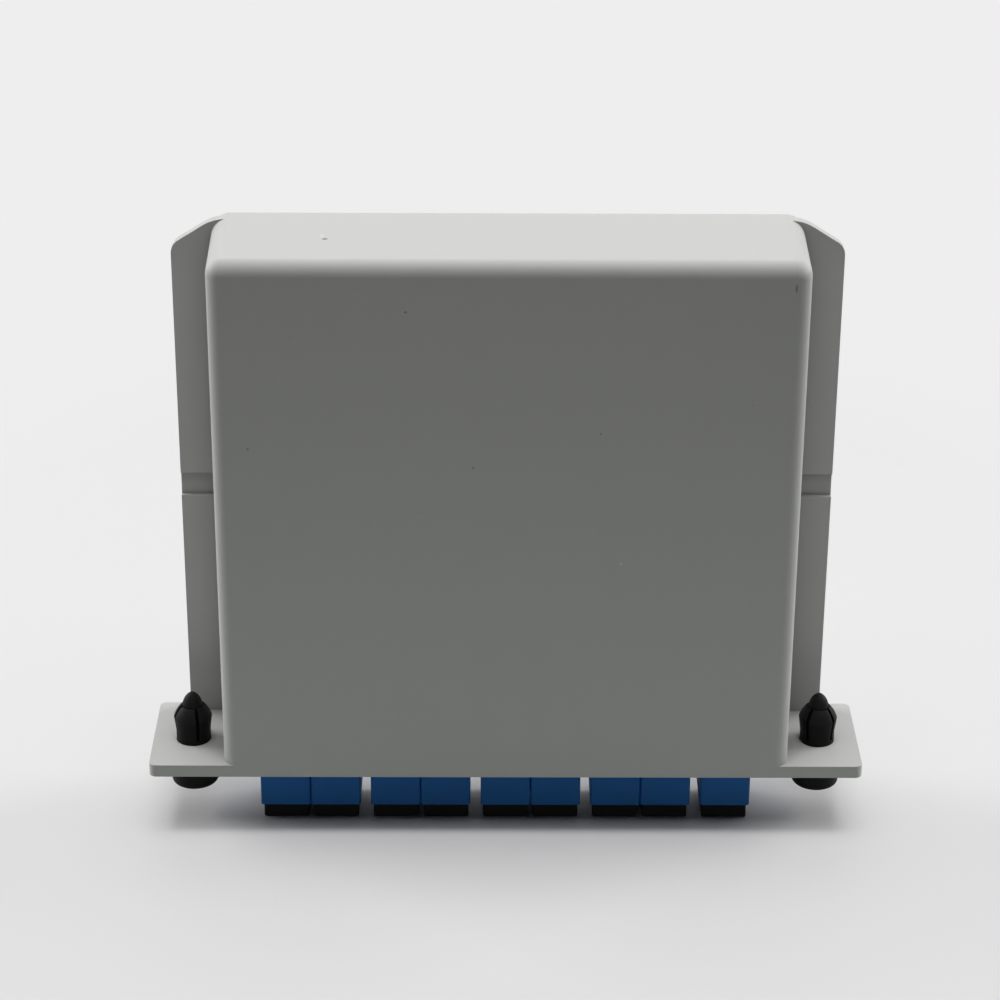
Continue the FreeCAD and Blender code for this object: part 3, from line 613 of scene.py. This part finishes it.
@dataclass
class Latches:
    """The two push-pull latches."""

    paint: Paintbox

    def build(self) -> None:
        """Dress the grommets and the plungers."""
        for side in Side:
            self.paint.coat_node(f"latch_grommet_{side.value}", LATCH)
            self.paint.coat_node(f"latch_plunger_{side.value}", LATCH)


@dataclass
class FibreTray:
    """Splitter module and its fibres."""

    paint: Paintbox

    def build(self) -> None:
        """Dress the module and the fibres."""
        self.paint.coat_node("splitter_module", TUBE)
        self.paint.coat_node("module_input_end", TUBE_END)
        self.paint.coat_node("module_output_end", TUBE_END)
        for n in range(1, PORTS + 1):
            self.paint.coat_node(f"pigtail_{n}", FIBRE)


# ---------------------------------------------------------------------------
# studio
# ---------------------------------------------------------------------------


@dataclass
class Camera:
    """The camera's place and aim, in the object's frame."""

    place: Spot = (-0.004545, -0.47921, 0.29140)
    pitch: float = -25.5
    yaw: float = -0.394
    roll: float = -0.314
    lens: float = 107.06
    sensor: float = 36.0
    nearest: float = 0.01
    farthest: float = 20.0

    def build(self) -> None:
        """Make the camera and make it the scene's own."""
        pitch, yaw, roll = (math.radians(angle) for angle in (self.pitch, self.yaw, self.roll))
        level = Vector((-math.sin(yaw), math.cos(yaw), 0.0))
        ahead = level * math.cos(pitch) + Vector((0.0, 0.0, math.sin(pitch)))
        flat_right = Vector((math.cos(yaw), math.sin(yaw), 0.0))
        flat_up = flat_right.cross(ahead)
        right = flat_right * math.cos(roll) - flat_up * math.sin(roll)
        up = right.cross(ahead)
        data = bpy.data.cameras.new("camera")
        data.sensor_width = self.sensor
        data.lens = self.lens
        data.clip_start = self.nearest
        data.clip_end = self.farthest
        camera = bpy.data.objects.new("camera", data)
        bpy.context.scene.collection.objects.link(camera)
        turn = Matrix((right, up, -ahead)).transposed()
        camera.matrix_world = Matrix.Translation(self.place) @ turn.to_4x4()
        bpy.context.scene.camera = camera


@dataclass(frozen=True)
class Lamp:
    """A square or oblong softbox that points at a spot."""

    name: str
    place: Spot
    aim: Spot
    width: float
    depth: float
    watts: float

    def build(self) -> None:
        """Hang the lamp."""
        data = bpy.data.lights.new(self.name, "AREA")
        data.shape = "RECTANGLE"
        data.size = self.width
        data.size_y = self.depth
        data.energy = self.watts
        lamp = bpy.data.objects.new(self.name, data)
        bpy.context.scene.collection.objects.link(lamp)
        lamp.location = self.place
        lamp.rotation_euler = (Vector(self.aim) - Vector(self.place)).to_track_quat("-Z", "Y").to_euler()


@dataclass
class Studio:
    """Pale floor that turns into the backdrop, with painted light that lifts its shadow beside the
    cassette, softboxes, pale room and camera.
    """

    floor_reach: float = 4.0
    floor_seen: Colour = (0.652, 0.646, 0.654)
    floor_bounce: Colour = (0.422, 0.450, 0.418)
    far_bounce: Colour = (0.060, 0.064, 0.060)
    floor_roughness: float = 0.5
    floor_specular: float = 0.3
    # Painted light: just beside the cassette's footprint the floor glows with part of the backdrop, which
    # lifts its shadow and gives that shadow a sharp painted edge.
    footprint: tuple[float, float] = (0.060, 0.0085)
    painted_shadow_edge: float = 0.0035
    painted_light_share: float = 0.30
    backdrop_starts: float = 0.13
    backdrop_ends: float = 0.27
    room_colour: Colour = (0.865, 0.853, 0.860)
    lamps: Sequence[Lamp] = (
        Lamp("overhead_softbox", (0.0, 0.0, 1.20), (0.0, 0.0, 0.0), 0.5, 0.5, 4.6),
        Lamp("overhead_front_softbox", (0.0, -0.35, 1.10), (0.0, 0.0, 0.0), 1.2, 0.4, 3.2),
        Lamp("back_softbox", (0.0, 0.95, 0.85), (0.0, 0.0, 0.0), 1.4, 0.5, 2.7),
        Lamp("left_softbox", (-0.8, 0.27, 0.40), (0.0, 0.0, 0.06), 0.5, 0.5, 5.6),
        Lamp("right_softbox", (0.8, 0.27, 0.40), (0.0, 0.0, 0.06), 0.5, 0.5, 4.9),
        Lamp("high_left_softbox", (-0.7, 0.1, 0.9), (0.0, 0.0, 0.06), 0.5, 0.6, 0.8),
        Lamp("high_right_softbox", (0.7, 0.1, 0.9), (0.0, 0.0, 0.06), 0.5, 0.6, 1.4),
    )

    def build(self) -> None:
        """Set the stage, the lamps, the room's light and the camera."""
        self._lay_floor()
        for lamp in self.lamps:
            lamp.build()
        self._light_room()
        Camera().build()
        bpy.context.scene.view_settings.view_transform = "Standard"

    def _lay_floor(self) -> None:
        """Lay the pale floor that the cassette stands on."""
        bpy.ops.object.select_all(action="DESELECT")
        bpy.ops.mesh.primitive_plane_add(size=2 * self.floor_reach, location=(0.0, 0.0, 0.0))
        floor = bpy.context.object
        floor.name = "studio_floor"
        material = bpy.data.materials.new("studio_floor")
        material.use_nodes = True
        tree = material.node_tree
        shader = tree.nodes["Principled BSDF"]
        shader.inputs["Roughness"].default_value = self.floor_roughness
        shader.inputs["Specular IOR Level"].default_value = self.floor_specular
        away = self._away(tree)
        bounce = mix_colours(tree, away, opaque(self.floor_bounce), opaque(self.far_bounce))
        tone = mix_colours(tree, self._seen(tree), bounce, opaque(self.floor_seen))
        tree.links.new(tone, shader.inputs["Base Color"])
        self._fade_to_backdrop(tree, shader, away)
        floor.data.materials.append(material)

    def _away(self, tree: Tree) -> Socket:
        """Nought round the cassette, rising to one where the floor becomes backdrop."""
        place = add_node(tree, "ShaderNodeTexCoord").outputs["Object"]
        distance = vectors(tree, "LENGTH", place)
        return smooth_rise(tree, distance, self.backdrop_starts, self.backdrop_ends)

    def _painted_light_beside(self, tree: Tree) -> Socket:
        """Painted light on the floor: nought under the cassette, rising just beside it to the share of
        backdrop glow that lifts its shadow there.
        """
        place = add_node(tree, "ShaderNodeTexCoord").outputs["Object"]
        mirrored = vectors(tree, "ABSOLUTE", place)
        outside = vectors(tree, "SUBTRACT", mirrored, (*self.footprint, 0.0))
        beyond = vectors(tree, "MAXIMUM", outside)
        distance = vectors(tree, "LENGTH", beyond)
        return smooth_rise(tree, distance, 0.0, self.painted_shadow_edge, self.painted_light_share)

    def _fade_to_backdrop(self, tree: Tree, shader: Node, away: Socket) -> None:
        """Turn the floor into an even backdrop all round, away from the object and its shadow, and paint
        light into the shadow just beside the object while the floor under it stays dark.

        Args:
            tree: The floor's node tree.
            shader: The shader that takes the object's shadow.
            away: How far the floor has become backdrop.
        """
        pale = add_node(tree, "ShaderNodeEmission")
        pale.inputs["Color"].default_value = opaque(self.room_colour)
        # Painted light: the backdrop glow also lifts the floor's shadow beside the cassette, but not under
        # it.
        share = maths(tree, "MULTIPLY", maths(tree, "MAXIMUM", away, self._painted_light_beside(tree)), self._seen(tree))
        mixed = mix_shaders(tree, share, shader.outputs[0], pale.outputs[0])
        tree.links.new(mixed, tree.nodes["Material Output"].inputs[0])

    @staticmethod
    def _seen(tree: Tree) -> Socket:
        """One for rays that see or mirror the stage, and nought for rays that carry its light."""
        rays = add_node(tree, "ShaderNodeLightPath")
        direct = maths(tree, "MAXIMUM", rays.outputs["Is Camera Ray"], rays.outputs["Is Glossy Ray"])
        return maths(tree, "MAXIMUM", direct, rays.outputs["Is Transmission Ray"])

    def _light_room(self) -> None:
        """Make the room pale where it is seen or mirrored, and leave the lighting to the lamps."""
        world = bpy.data.worlds.new("room")
        bpy.context.scene.world = world
        world.use_nodes = True
        tree = world.node_tree
        tree.nodes.clear()
        dark = add_node(tree, "ShaderNodeBackground")
        dark.inputs["Color"].default_value = opaque(BLACK)
        pale = add_node(tree, "ShaderNodeBackground")
        pale.inputs["Color"].default_value = opaque(self.room_colour)
        mixed = mix_shaders(tree, self._seen(tree), dark.outputs[0], pale.outputs[0])
        out = add_node(tree, "ShaderNodeOutputWorld")
        tree.links.new(mixed, out.inputs[0])


def main() -> None:
    """Build the studio and dress the cassette, one sub-assembly after the other."""
    logging.basicConfig(level=logging.INFO, format="%(name)s: %(message)s")
    Studio().build()
    paint = Paintbox()
    for assembly in (Shell(paint), PortRow(paint), Latches(paint), FibreTray(paint)):
        assembly.build()
        LOG.info("%s dressed", type(assembly).__name__)


if __name__ == "__main__":
    main()
